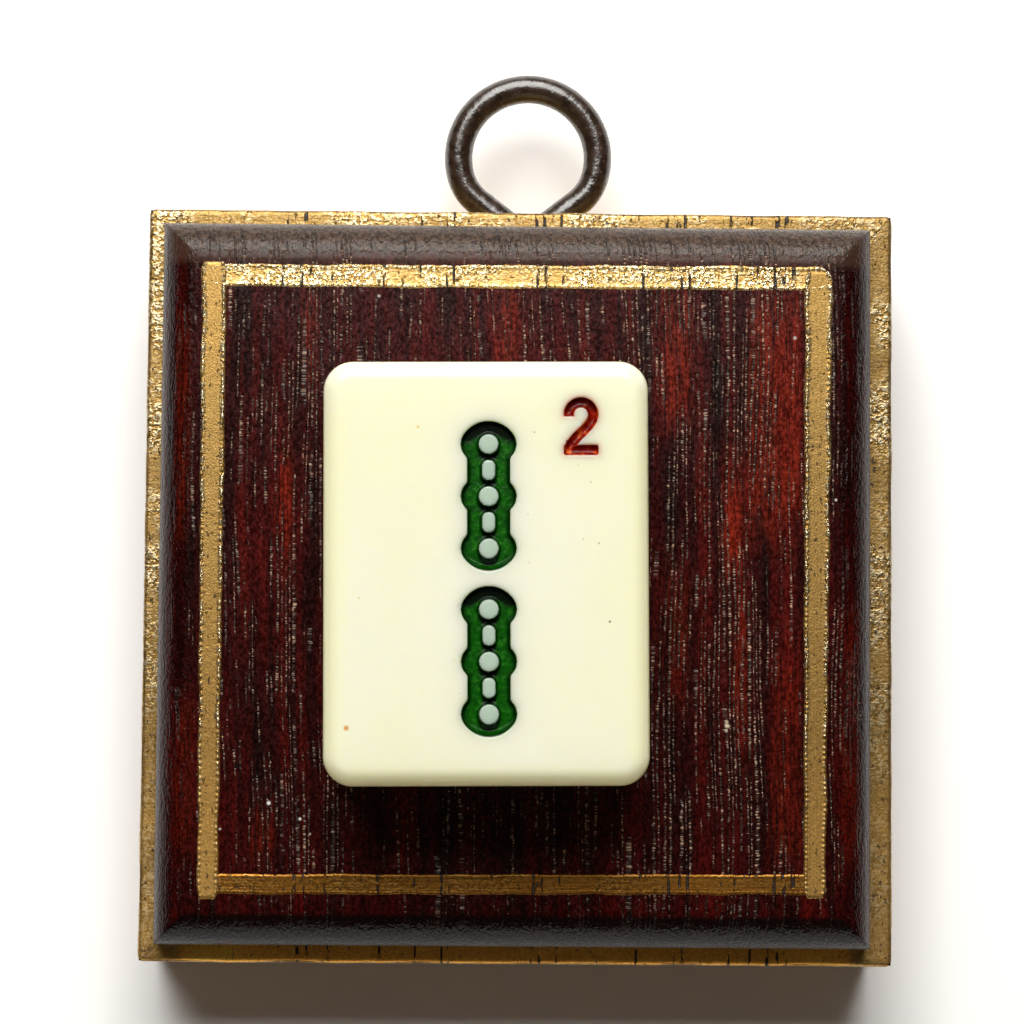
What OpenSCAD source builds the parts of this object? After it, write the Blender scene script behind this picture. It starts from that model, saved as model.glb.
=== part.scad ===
// A two-of-bamboo tile bonded to a square hanging plaque of dark wood.
// The hang point, where a hook bears inside the top of the eye, is the origin.
// X runs right, Y runs back into the wall and Z runs up. All lengths are in millimetres.

/* [Board] */
// Width of the board, gilding included
board_w = 57; // [50:0.5:80]
// Height of the board, gilding included
board_h = 57.3; // [50:0.1:80]
// Thickness of the back slab, up to the ledge
slab_t = 13.6; // [9:0.1:20]
// Radius of the slab's four corners
slab_corner_r = 0.5; // [0.3:0.1:3]
// Width of the ledge left at either side of the raised block
ledge_w = 1.7; // [1:0.1:4]
// Width of the ledge left above and below the raised block
ledge_h = 1.5; // [1:0.1:4]
// How far the raised block stands above the ledge
block_rise = 5.4; // [3:0.1:8]
// Radius of the quarter round along the raised block's front edges
block_edge_r = 2.2; // [0.5:0.1:2.8]
// How far the raised block sits left of the board's middle
block_shift = 0.3; // [0:0.1:0.6]

/* [Gilding] */
// Thickness of the gold coats
gilt_t = 0.1; // [0.05:0.01:0.2]
// Distance from the raised block's left and right sides to the border stripe
border_side = 3.2; // [2.9:0.1:5]
// Distance from the raised block's top and bottom to the border stripe
border_end = 3.6; // [2.9:0.1:5]
// Width of the border stripe
border_w = 1.8; // [1:0.1:3]
// Radius of the border stripe's outer corners
border_corner_r = 0.6; // [0.3:0.1:0.9]

/* [Screw eye] */
// Radius of the eye's ring, measured to the middle of the wire
ring_r = 5.5; // [5:0.1:7]
// Diameter of the eye's wire
wire_d = 2.07; // [1.6:0.01:2.4]
// Tighter radius where the ring turns down into its legs
shoulder_r = 3.8; // [2.5:0.1:4]
// How far the straight legs cut inside the ring's circle
leg_draw = 0.3; // [0.1:0.05:0.8]
// Lean of the straight legs, from upright
leg_lean = 52; // [45:1:55]
// Depth below the top of the board at which the two legs meet
eye_sink = 1.15; // [0.6:0.05:1.6]
// How far the eye sits right of the board's middle
eye_shift = 0.6; // [-3:0.1:3]
// Depth of the shank's point below the top of the board
shank_depth = 11; // [7:0.5:16]

/* [Tile] */
// Width of the tile
tile_w = 23; // [20:0.5:26]
// Height of the tile
tile_h = 30; // [28:0.5:36]
// Thickness of the tile
tile_t = 12.7; // [8:0.1:16]
// Radius of the tile's four corners, seen from the front
tile_corner_r = 2.1; // [1.5:0.1:3]
// Radius rolled along the tile's front and back edges
tile_edge_r = 1.3; // [0.5:0.1:1.5]
// How far the tile sits left of the board's middle
tile_shift = 2.55; // [0:0.05:4]
// Height of the tile's middle above the board's middle
tile_lift = 0.1; // [-3:0.1:3]
// Turn of the tile on the board, anticlockwise
tile_turn = 0.6; // [-3:0.1:3]
// Thickness of the glue between the tile and the board
glue_t = 0.3; // [0.1:0.05:0.6]
// Distance that the glue stays inside the tile's outline
glue_inset = 2; // [1.6:0.1:4]

/* [Bamboo sticks] */
// Depth of the engraving
engrave_d = 0.8; // [0.4:0.05:1.2]
// Height of the pair's middle above the tile's middle
pair_lift = -0.46; // [-1:0.01:1]
// How far the pair sits right of the tile's middle
pair_shift = 0.18; // [-1:0.01:1]
// Gap between the two sticks, end to end
stick_gap = 1.1; // [0.8:0.05:2]
// Distance between the dots along a stick
dot_pitch = 3.68; // [3.5:0.01:3.8]
// Half the width of a stick at a joint
joint_half_w = 1.93; // [1.7:0.01:2.2]
// Radius of the round sides of a joint
joint_r = 1.2; // [1.1:0.01:1.4]
// Half the width of a stick between two joints
cane_half_w = 1.47; // [1.2:0.01:1.6]
// Height of the crown beyond the last dot's middle
crown_h = 1.59; // [1.5:0.01:1.8]
// Diameter of the dots that stand up to the tile's face
dot_d = 1.45; // [1.1:0.01:1.6]
// Width of the bars that stand up between the dots
bar_w = 0.97; // [0.9:0.01:1.2]
// Height of those bars
bar_h = 1.48; // [1:0.01:1.6]
// Radius of the bars' corners
bar_corner_r = 0.44; // [0.1:0.01:0.44]

/* [Index numeral] */
// Depth of the numeral's groove
numeral_d = 0.5; // [0.3:0.05:0.8]
// Width of the numeral's stroke
stroke_w = 0.68; // [0.4:0.01:0.8]
// Width over the numeral
numeral_w = 2.4; // [2.2:0.01:2.8]
// Height over the numeral
numeral_h = 4.05; // [3.8:0.01:4.6]
// Distance from the numeral's middle to the tile's right side
numeral_side = 4.8; // [4:0.1:5.5]
// Distance from the numeral's middle to the tile's top
numeral_top = 4.7; // [4.2:0.1:6]

/* [Paint] */
// Thickness of the paint that lines the engraving
paint_t = 0.1; // [0.05:0.01:0.2]
// Distance that all paint stays below the tile's face
paint_drop = 0.08; // [0.04:0.01:0.15]

/* [Hidden] */
$fn = 96;
// Overrun of every cut past the face that it opens
over = 1;
// Room left round the eye's shank and legs in the wood
eye_fit = 0.03;
// Gap between the wire's free end and the leg that it closes on
mouth_gap = 0.05;
// Inside radius of the sharp bend from the shank to the first leg
neck_inner_r = 0.15;
// Amount that each stretch of wire is thinner than the last, and the length by which it laps that one
wire_taper = 0.005;
wire_lap = 0.1;

// Board: the raised block's sides and the height of its face above the board's back
block_w = board_w - 2 * ledge_w;
block_h = board_h - 2 * ledge_h;
block_face = slab_t + block_rise;

// Screw eye: its legs, and the places of its ring and its shoulders about the ring's centre
wire_r = wire_d / 2;
eye_z = slab_t / 2;
leg_reach = ring_r - leg_draw;
leg_apex = leg_reach / sin(leg_lean);
leg_low = 90 - leg_lean;
shoulder_offset = ring_r - shoulder_r;
shoulder_turn = acos((leg_reach - shoulder_r) / shoulder_offset);
ring_start = leg_low + shoulder_turn - 90;
shoulder_x = shoulder_offset * cos(ring_start);
shoulder_y = shoulder_offset * sin(ring_start);
leg_len = (shoulder_x + shoulder_r * sin(leg_low)) / sin(leg_lean);
neck_r = wire_r + neck_inner_r;
neck_len = neck_r * tan(leg_lean / 2);
mouth_len = (wire_r + mouth_gap + wire_r * abs(cos(2 * leg_lean))) / sin(2 * leg_lean);
ring_y = board_h / 2 + leg_apex - eye_sink;
hang_y = ring_y + ring_r - wire_r;
point_len = wire_d;
bite_r = (wire_r + eye_sink * sin(leg_lean)) / cos(leg_lean);

// Bamboo stick: the flatter arc that crowns each end, tangent to the joint's round sides
joint_x = joint_half_w - joint_r;
crown_r = (crown_h * crown_h + joint_x * joint_x - joint_r * joint_r) / (2 * (crown_h - joint_r));
crown_drop = crown_r - crown_h;
crown_x = joint_x * (crown_r + over) / crown_drop;
stick_half_h = dot_pitch + crown_h;
upper_stick_y = pair_lift + stick_gap / 2 + stick_half_h;
lower_stick_y = pair_lift - stick_gap / 2 - stick_half_h;

// Numeral: its place on the tile, its bowl, and the stroke that falls to the foot on the left
numeral_x = tile_w / 2 - numeral_side;
numeral_y = tile_h / 2 - numeral_top;
stroke_r = stroke_w / 2;
bowl_r = numeral_w / 2 - stroke_r;
bowl_y = numeral_h / 2 - stroke_r - bowl_r;
fall_x = stroke_r - numeral_w / 2;
fall_y = stroke_r - numeral_h / 2 - bowl_y;
fall_len = sqrt(fall_x * fall_x + fall_y * fall_y - bowl_r * bowl_r);
fall_start = atan2(fall_y, fall_x) + atan2(fall_len, bowl_r);

// Lifts a part drawn lying on its back, with the board's middle at zero, to where it hangs.
module hung() {
    translate([-eye_shift, slab_t / 2, -hang_y]) rotate([90, 0, 0]) children();
}

// Carries what is drawn about the tile's middle to the tile's place, a height above the board.
module on_tile(height) {
    translate([-tile_shift, tile_lift, height]) rotate([0, 0, tile_turn]) children();
}

// A rectangle about the origin with round corners.
module round_rect(w, h, r) {
    square([w - 2 * r, h], center = true);
    square([w, h - 2 * r], center = true);
    for (x = [-1, 1], y = [-1, 1])
        translate([x * (w / 2 - r), y * (h / 2 - r)]) circle(r);
}

// The slab, drawn in at its sides and front by the coat that covers it.
module slab(coat = 0) {
    linear_extrude(slab_t - coat)
        round_rect(board_w - 2 * coat, board_h - 2 * coat, slab_corner_r - coat);
}

// Cross section of the raised block over a side, from the board's back to its rounded front edges.
module block_profile(side) {
    flat_w = side - 2 * block_edge_r;
    translate([-side / 2, 0]) square([side, block_face - block_edge_r]);
    translate([-flat_w / 2, 0]) square([flat_w, block_face]);
    for (x = [-1, 1])
        translate([x * flat_w / 2, block_face - block_edge_r]) circle(block_edge_r);
}

// The raised block, whose quarter rounds meet in mitres at the corners.
module block() {
    translate([-block_shift, 0, 0]) intersection() {
        rotate([90, 0, 0]) linear_extrude(block_h, center = true) block_profile(block_w);
        rotate([90, 0, 90]) linear_extrude(block_w, center = true) block_profile(block_h);
    }
}

// The hole that the eye makes in the wood: a bite for its legs, a bore for its shank and a point.
module eye_hole() {
    hole_r = wire_r + eye_fit;
    straight = shank_depth - point_len;
    bite_slope = tan(leg_lean);
    bite_depth = (bite_r - wire_r) / bite_slope;
    translate([eye_shift, board_h / 2, eye_z]) rotate([90, 0, 0]) {
        translate([0, 0, -over]) cylinder(h = straight + over, r = hole_r);
        translate([0, 0, straight]) cylinder(h = point_len, r1 = hole_r, r2 = 0);
        translate([0, 0, -over])
            cylinder(h = bite_depth + over, r1 = bite_r + eye_fit + over * bite_slope, r2 = hole_r);
    }
}

module plaque_board() {
    color([0.27, 0.07, 0.05]) hung() difference() {
        union() {
            slab(gilt_t);
            block();
        }
        eye_hole();
    }
}

module gilt_rim() {
    color([0.80, 0.63, 0.35]) hung() difference() {
        slab();
        slab(gilt_t);
        block();
        eye_hole();
    }
}

module gold_border() {
    outer_w = block_w - 2 * border_side;
    outer_h = block_h - 2 * border_end;
    color([0.80, 0.63, 0.35]) hung() translate([-block_shift, 0, block_face])
        linear_extrude(gilt_t) difference() {
            round_rect(outer_w, outer_h, border_corner_r);
            square([outer_w - 2 * border_w, outer_h - 2 * border_w], center = true);
        }
}

// A bend of the wire about the origin, from the X axis anticlockwise, lapped into what it leaves.
module bend(radius, turn, gauge) {
    lap = wire_lap / radius * 180 / PI;
    rotate([0, 0, -lap]) rotate_extrude(angle = turn + lap) translate([radius, 0]) circle(gauge);
}

// A straight stretch of the wire along Y from the origin, lapped into what it leaves.
module straight_wire(length, gauge) {
    translate([0, -wire_lap, 0]) rotate([-90, 0, 0]) cylinder(h = length + wire_lap, r = gauge);
}

// The wire runs from the shank up the right leg, round the ring and down to the free left end.
module screw_eye() {
    shank_len = shank_depth - point_len - eye_sink - neck_len;
    color([0.22, 0.16, 0.12]) hung() translate([eye_shift, ring_y, eye_z]) {
        translate([0, -leg_apex, 0]) {
            translate([0, -neck_len, 0]) rotate([90, 0, 0]) {
                cylinder(h = shank_len, r = wire_r);
                translate([0, 0, shank_len]) cylinder(h = point_len - eye_fit, r1 = wire_r, r2 = 0);
            }
            translate([neck_r, -neck_len, 0]) mirror([1, 0, 0])
                bend(neck_r, leg_lean, wire_r - wire_taper);
            rotate([0, 0, -leg_lean]) translate([0, neck_len, 0])
                straight_wire(leg_len - neck_len, wire_r - 2 * wire_taper);
        }
        translate([shoulder_x, shoulder_y, 0]) rotate([0, 0, -leg_lean])
            bend(shoulder_r, shoulder_turn, wire_r - 3 * wire_taper);
        rotate([0, 0, ring_start]) bend(ring_r, 180 - 2 * ring_start, wire_r - 4 * wire_taper);
        translate([-shoulder_x, shoulder_y, 0]) rotate([0, 0, 180 - ring_start]) {
            bend(shoulder_r, shoulder_turn, wire_r - 5 * wire_taper);
            rotate([0, 0, shoulder_turn]) translate([shoulder_r, 0, 0])
                straight_wire(leg_len - mouth_len, wire_r - 6 * wire_taper);
        }
    }
}

module glue_pad() {
    color([0.85, 0.82, 0.72]) hung() on_tile(block_face) linear_extrude(glue_t)
        round_rect(tile_w - 2 * glue_inset, tile_h - 2 * glue_inset, tile_corner_r);
}

// A corner post of the tile, turned to the same rolled edges as its sides.
module tile_post() {
    rotate_extrude() intersection() {
        translate([0, tile_t / 2]) round_rect(2 * tile_corner_r, tile_t, tile_edge_r);
        square([tile_corner_r, tile_t]);
    }
}

// The tile before it is engraved: two crossed bars of rounded section and four corner posts.
module tile_blank() {
    post_x = tile_w / 2 - tile_corner_r;
    post_y = tile_h / 2 - tile_corner_r;
    rotate([90, 0, 0]) linear_extrude(2 * post_y, center = true)
        translate([0, tile_t / 2]) round_rect(tile_w, tile_t, tile_edge_r);
    rotate([90, 0, 90]) linear_extrude(2 * post_x, center = true)
        translate([0, tile_t / 2]) round_rect(tile_h, tile_t, tile_edge_r);
    for (x = [-1, 1], y = [-1, 1]) translate([x * post_x, y * post_y, 0]) tile_post();
}

// Outline of one bamboo stick, drawn in by the coat of paint on its walls.
module stick_outline(coat = 0) {
    square([2 * (cane_half_w - coat), 2 * dot_pitch], center = true);
    for (j = [-1 : 1]) translate([0, j * dot_pitch]) {
        square([2 * joint_x, 2 * (joint_r - coat)], center = true);
        for (x = [-1, 1]) translate([x * joint_x, 0]) circle(joint_r - coat);
    }
    for (end = [0, 1]) mirror([0, end]) translate([0, dot_pitch - crown_drop]) intersection() {
        circle(crown_r - coat);
        polygon([[0, 0], [crown_x, crown_r + over], [-crown_x, crown_r + over]]);
    }
}

// The dots and bars left standing inside a stick, grown by the coat of paint on their sides.
module stick_islands(coat = 0) {
    for (j = [-1 : 1]) translate([0, j * dot_pitch]) circle(dot_d / 2 + coat);
    for (j = [-1, 1]) translate([0, j * dot_pitch / 2])
        round_rect(bar_w + 2 * coat, bar_h + 2 * coat, bar_corner_r + coat);
}

// The engraved field of one stick, from its floor up to a height, with a coat left off all round.
module stick_field(height, coat = 0) {
    linear_extrude(height) difference() {
        stick_outline(coat);
        stick_islands(coat);
    }
}

// Outline of the plain numeral 2: a bowl, a falling stroke and a base.
module numeral_outline() {
    translate([0, bowl_y]) {
        difference() {
            circle(bowl_r + stroke_r);
            circle(bowl_r - stroke_r);
            polygon([[0, 0], [-numeral_w, 0], [-numeral_w, -numeral_w], [0, -numeral_w],
                [numeral_w * cos(fall_start), numeral_w * sin(fall_start)]]);
        }
        rotate(fall_start) translate([bowl_r - stroke_r, -fall_len]) square([stroke_w, fall_len]);
    }
    translate([-numeral_w / 2, -numeral_h / 2]) square([numeral_w, stroke_w]);
}

module tile_body() {
    color([0.98, 0.96, 0.84]) hung() on_tile(block_face + glue_t) difference() {
        tile_blank();
        for (y = [upper_stick_y, lower_stick_y])
            translate([pair_shift, y, tile_t - engrave_d]) stick_field(engrave_d + over);
        translate([numeral_x, numeral_y, tile_t - numeral_d])
            linear_extrude(numeral_d + over) numeral_outline();
    }
}

// The green paint on the floor and the walls of one stick.
module bamboo_paint(y) {
    color([0.05, 0.32, 0.10]) hung() on_tile(block_face + glue_t + tile_t - engrave_d)
        translate([pair_shift, y, 0]) difference() {
            stick_field(engrave_d - paint_drop);
            translate([0, 0, paint_t]) stick_field(engrave_d, paint_t);
        }
}

module upper_bamboo_paint() {
    bamboo_paint(upper_stick_y);
}

module lower_bamboo_paint() {
    bamboo_paint(lower_stick_y);
}

module numeral_paint() {
    color([0.62, 0.06, 0.04]) hung() on_tile(block_face + glue_t + tile_t - numeral_d)
        translate([numeral_x, numeral_y, 0])
            linear_extrude(numeral_d - paint_drop) numeral_outline();
}

plaque_board();
gilt_rim();
gold_border();
screw_eye();
glue_pad();
tile_body();
upper_bamboo_paint();
lower_bamboo_paint();
numeral_paint();
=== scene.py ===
import math
from functools import partial, reduce

import bmesh
import bpy
import numpy as np
from mathutils import Matrix, Vector
from mathutils.geometry import delaunay_2d_cdt


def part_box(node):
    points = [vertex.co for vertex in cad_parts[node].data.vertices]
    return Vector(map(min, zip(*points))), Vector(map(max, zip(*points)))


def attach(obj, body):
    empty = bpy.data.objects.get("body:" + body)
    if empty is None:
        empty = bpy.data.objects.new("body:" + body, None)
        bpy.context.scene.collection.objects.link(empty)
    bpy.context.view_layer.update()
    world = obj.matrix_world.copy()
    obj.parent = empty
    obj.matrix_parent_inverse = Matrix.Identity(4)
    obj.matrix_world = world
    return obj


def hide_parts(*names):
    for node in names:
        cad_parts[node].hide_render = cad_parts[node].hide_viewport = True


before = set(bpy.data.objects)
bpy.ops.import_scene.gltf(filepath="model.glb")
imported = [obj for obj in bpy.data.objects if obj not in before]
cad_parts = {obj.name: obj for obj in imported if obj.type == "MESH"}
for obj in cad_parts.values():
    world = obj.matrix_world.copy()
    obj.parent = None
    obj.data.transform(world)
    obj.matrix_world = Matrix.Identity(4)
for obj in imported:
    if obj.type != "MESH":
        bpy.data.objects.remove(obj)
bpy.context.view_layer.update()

MM = 0.001


# ---- places taken from the CAD nodes

def node_box(name):
    """Lowest and highest corner of a CAD node, in millimetres."""
    low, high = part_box(name)
    return np.array(low) / MM, np.array(high) / MM


BOARD_LOW, BOARD_HIGH = node_box("plaque_board")
RIM_LOW, RIM_HIGH = node_box("gilt_rim")
TILE_LOW, TILE_HIGH = node_box("tile_body")

BOARD_X, _, BOARD_Z = (RIM_LOW + RIM_HIGH) / 2
BOARD_BACK, LEDGE_Y, FACE_Y = BOARD_HIGH[1], RIM_LOW[1], BOARD_LOW[1]
TILE_X, _, TILE_Z = (TILE_LOW + TILE_HIGH) / 2
TILE_BACK, TILE_T = TILE_HIGH[1], TILE_HIGH[1] - TILE_LOW[1]

# The raised block, with its shift to the left and its quarter round, and the tile.
BLOCK_W, BLOCK_H, BLOCK_SHIFT, ROUND_R = 53.6, 54.3, 0.3, 3.1
TILE_W, TILE_H, TILE_TURN = 23.0, 30.0, math.radians(0.6)
TILE_CORNER_R, TILE_EDGE_R = 2.1, 1.3


# ---- mesh helpers

def add_mesh(name, points, faces, material, replaced):
    """A smooth piece from points in millimetres, riding on the part."""
    mesh = bpy.data.meshes.new(name)
    mesh.from_pydata((np.asarray(points, float) * MM).tolist(), [], [list(map(int, f)) for f in faces])
    mesh.validate()
    work = bmesh.new()
    work.from_mesh(mesh)
    bmesh.ops.recalc_face_normals(work, faces=work.faces)
    work.to_mesh(mesh)
    work.free()
    mesh.shade_smooth()
    mesh.materials.append(material)
    piece = bpy.data.objects.new(name, mesh)
    bpy.context.scene.collection.objects.link(piece)
    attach(piece, "root")
    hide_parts(*replaced)
    return piece


def add_values(piece, name, values):
    """One number per point, for the piece's material."""
    layer = piece.data.attributes.new(name, "FLOAT", "POINT")
    layer.data.foreach_set("value", values.astype(np.float32))


def grid_faces(rows, columns, start=0, closed=False):
    """Quads over a grid of points stored row by row; closed joins the last column to the first."""
    r = np.arange(rows - 1)[:, None]
    c = np.arange(columns if closed else columns - 1)[None, :]
    n = (c + 1) % columns
    quads = np.stack([r * columns + c, r * columns + n, (r + 1) * columns + n, (r + 1) * columns + c], -1)
    return (quads.reshape(-1, 4) + start).tolist()


def wave_noise(t, wavelength, seed, octaves=3):
    """Smooth 1-D noise of about unit height over the coordinates t."""
    rng = np.random.default_rng(seed)
    total, height = np.zeros_like(np.asarray(t, float)), 1.0
    for octave in range(octaves):
        for _ in range(3):
            turns = (0.7 + 0.6 * rng.random()) * 2 ** octave / wavelength
            total = total + height * np.sin(2 * np.pi * (turns * t + rng.random())) / 3
        height *= 0.5
    return total


def rounded_path(width, height, radius, steps, along):
    """Closed path of a rectangle with round corners, and its normals, with as many points for every radius."""
    corners = []
    for sx, sy, start in ((1, 1, 0), (-1, 1, 90), (-1, -1, 180), (1, -1, 270)):
        turns = [math.radians(start + 90 * k / steps) for k in range(steps + 1)]
        normals = np.array([(math.cos(a), math.sin(a)) for a in turns])
        middle = np.array((sx * (width / 2 - radius), sy * (height / 2 - radius)))
        corners.append((middle + radius * normals, normals))
    share = np.arange(1, along)[:, None] / along
    points, outward = [], []
    for (bend, normals), (after, _) in zip(corners, corners[1:] + corners[:1]):
        points += [bend, bend[-1] + share * (after[0] - bend[-1])]
        outward += [normals, np.repeat(normals[-1:], along - 1, 0)]
    return np.concatenate(points), np.concatenate(outward)


# ---- materials

class Tree:
    """A Principled material and short names for the nodes that feed it."""

    def __init__(self, name):
        self.material = bpy.data.materials.new(name)
        self.material.use_nodes = True
        self.nodes = self.material.node_tree.nodes
        self.shader = self.nodes["Principled BSDF"]
        coordinates = self.node("TexCoord").outputs
        scaled = self.node("VectorMath", {0: coordinates["Object"], "Scale": 1 / MM}, operation="SCALE")
        self.place = scaled.outputs[0]
        self.x, self.y, self.z = self.node("SeparateXYZ", {0: self.place}).outputs
        self.facing_x, _, self.facing_z = self.node("SeparateXYZ", {0: coordinates["Normal"]}).outputs

    def feed(self, socket, value):
        """Links an output to the socket, or sets its value."""
        if isinstance(value, bpy.types.NodeSocket):
            self.material.node_tree.links.new(value, socket)
        elif isinstance(value, tuple) and len(value) == 3 and socket.type == "RGBA":
            socket.default_value = (*value, 1)
        else:
            socket.default_value = value

    def node(self, kind, fed=None, **settings):
        """A new node with its settings and with what its sockets are fed."""
        node = self.nodes.new("ShaderNode" + kind)
        for name, value in settings.items():
            setattr(node, name, value)
        for socket, value in (fed or {}).items():
            self.feed(node.inputs[socket], value)
        return node

    def set(self, **values):
        """Feeds the shader's sockets; an underscore in a name stands for a space."""
        for name, value in values.items():
            self.feed(self.shader.inputs[name.replace("_", " ")], value)

    def math(self, operation, a, b=0.0, clamp=False):
        return self.node("Math", {0: a, 1: b}, operation=operation, use_clamp=clamp).outputs[0]

    def add(self, a, b):
        return self.math("ADD", a, b)

    def sub(self, a, b):
        return self.math("SUBTRACT", a, b)

    def mul(self, *values):
        return reduce(partial(self.math, "MULTIPLY"), values)

    def most(self, *values):
        return reduce(partial(self.math, "MAXIMUM"), values)

    def abs(self, a):
        return self.math("ABSOLUTE", a)

    def about(self, x, z):
        """Distance to the right of x and above z."""
        return self.sub(self.x, x), self.sub(self.z, z)

    def step(self, value, low, high, out_low=0.0, out_high=1.0):
        """Smooth step from out_low at low to out_high at high."""
        fed = {"Value": value, "From Min": low, "From Max": high, "To Min": out_low, "To Max": out_high}
        return self.node("MapRange", fed, interpolation_type="SMOOTHSTEP").outputs["Result"]

    def vector(self, x, y, z):
        return self.node("CombineXYZ", {0: x, 1: y, 2: z}).outputs[0]

    def noise(self, vector, detail=2.0, roughness=0.5):
        fed = {"Vector": vector, "Scale": 1.0, "Detail": detail, "Roughness": roughness}
        return self.node("TexNoise", fed).outputs["Fac"]

    def cloud(self, often, detail=2.0, roughness=0.5):
        """Noise over the place; often is its frequency per millimetre, one for all axes or one for each."""
        often = often if isinstance(often, tuple) else (often,) * 3
        place = self.node("VectorMath", {0: self.place, 1: often}, operation="MULTIPLY").outputs[0]
        return self.noise(place, detail, roughness)

    def strands(self, across, wide, long, detail, roughness=0.5, deep=None):
        """Noise along the grain, with its frequencies across, along z and, if given, in depth."""
        depth = 0.0 if deep is None else self.mul(self.y, deep)
        return self.noise(self.vector(self.mul(across, wide), depth, self.mul(self.z, long)), detail, roughness)

    def random(self, vector):
        """A level between 0 and 1 that is the same wherever the vector is."""
        return self.node("TexWhiteNoise", {"Vector": vector}).outputs["Value"]

    def attribute(self, name):
        return self.node("Attribute", attribute_name=name).outputs["Fac"]

    def mix(self, share, a, b, blend="MIX"):
        fed = {"Factor": share, "A": a, "B": b}
        return self.node("Mix", fed, data_type="RGBA", blend_type=blend, clamp_factor=True).outputs["Result"]

    def shaded(self, colour, *levels):
        """The colour times one level, or times one level for each channel."""
        return self.mix(1.0, colour, self.vector(*(levels * 3)[:3]), "MULTIPLY")

    def ramp(self, share, stops):
        """Colour ramp from (place, colour) stops."""
        node = self.node("ValToRGB", {"Fac": share})
        points = node.color_ramp.elements
        while len(points) < len(stops):
            points.new(0.5)
        for point, (at, colour) in zip(points, stops):
            point.position, point.color = at, (*colour, 1)
        return node.outputs["Color"]

    def bump(self, height, distance, strength):
        """Bump whose height of 1 stands for distance in millimetres."""
        fed = {"Strength": strength, "Distance": distance * MM, "Height": height}
        normal = self.node("Bump", fed).outputs["Normal"]
        self.set(Normal=normal)
        return normal

    def spot(self, x, z, radius, soft=0.5):
        """1 inside a round spot on a face that looks forward, 0 outside."""
        dx, dz = self.about(x, z)
        away = self.math("SQRT", self.add(self.mul(dx, dx), self.mul(dz, dz)))
        return self.step(away, radius * (1 + soft), radius * (1 - soft))

    def window(self, value, low, high, soft):
        """1 between low and high, with soft ends."""
        return self.mul(self.step(value, low - soft, low + soft), self.step(value, high + soft, high - soft))


# Places below are given about the board's middle, in millimetres: right, and up.
# Columns of the wood in which open pores are dense: (place across, level).
PORE_COLUMNS = [(-28.5, 0.35), (-24.5, 0.45), (-21, 0.55), (-17, 0.75), (-13.5, 0.8), (-10.5, 0.45),
                (-6, 0.55), (0, 0.55), (6, 0.6), (10.5, 0.95), (13, 0.6), (15, 0.95),
                (17.5, 1), (19.3, 0.55), (20.5, 0.35), (23.5, 0.85), (26, 0.5), (28.5, 0.35)]
# Open pores that cut dark slots into the gold: place across and half width.
PORE_SLOTS = [(-17.9, 0.07), (-16.5, 0.12), (-15.8, 0.09), (-14.2, 0.07), (-10.3, 0.09), (-7.6, 0.07), (-5.6, 0.08),
              (-5.1, 0.08), (1.2, 0.1), (1.8, 0.1), (3.1, 0.08), (9.1, 0.09), (11.2, 0.1), (12, 0.08),
              (12.6, 0.1), (16.1, 0.08), (17.7, 0.09), (19, 0.12), (19.7, 0.16), (20.4, 0.14)]
# Tones of the gold paint: place on its ramp, colour.
GOLDS = [(0.3, (0.32, 0.185, 0.05)), (0.52, (0.42, 0.255, 0.075)), (0.72, (0.56, 0.365, 0.125))]
# Dust and chips on the face: place across, height, radius, colour, strength.
DUST = [(-18.43, -16.5, 0.13, (0.8, 0.78, 0.74), 1), (-16.1, -17.66, 0.1, (0.8, 0.78, 0.74), 1),
        (-15.35, -18.76, 0.07, (0.6, 0.56, 0.5), 0.9), (-22, -18.44, 0.08, (0.5, 0.46, 0.42), 0.9),
        (-20.81, -13.79, 0.22, (0.004, 0.003, 0.003), 0.9), (23.57, 6.35, 0.09, (0.7, 0.66, 0.6), 0.9),
        (-10.69, 21.34, 0.1, (0.55, 0.48, 0.4), 0.8), (20.48, 18.48, 0.12, (0.55, 0.5, 0.46), 0.8),
        (15.45, -10.25, 0.12, (0.62, 0.52, 0.36), 0.9), (15.5, -10.55, 0.15, (0.66, 0.56, 0.4), 1),
        (15.44, -10.9, 0.1, (0.6, 0.5, 0.34), 0.9)]
# Streaks of red heartwood: left, right, bottom, top, strength.
RED_STREAKS = [(-25.6, -24.6, 4, 19, 0.75), (-17.8, -17, 2, 9, 1), (17, 21, 4, 22, 0.75),
               (10.5, 12.8, 12, 22.5, 0.7), (15.2, 16.6, 0.5, 9, 1), (-1.6, -0.2, 15.5, 22, 0.6),
               (24.2, 25.4, -20, -2, 0.6), (-16.3, -15.2, 15, 22, 0.55), (16.2, 17, -12, -1, 0.85),
               (-25.4, -24, -20, -9, 0.5), (-19.5, -18, -20.5, -17, 0.6), (8.2, 9.4, -2, 9, 0.45),
               (19, 21, -20.5, -4, 0.35), (-8.6, -7.6, -21, -15.8, 0.4), (11, 12.6, -9, 2, 0.4)]


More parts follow.
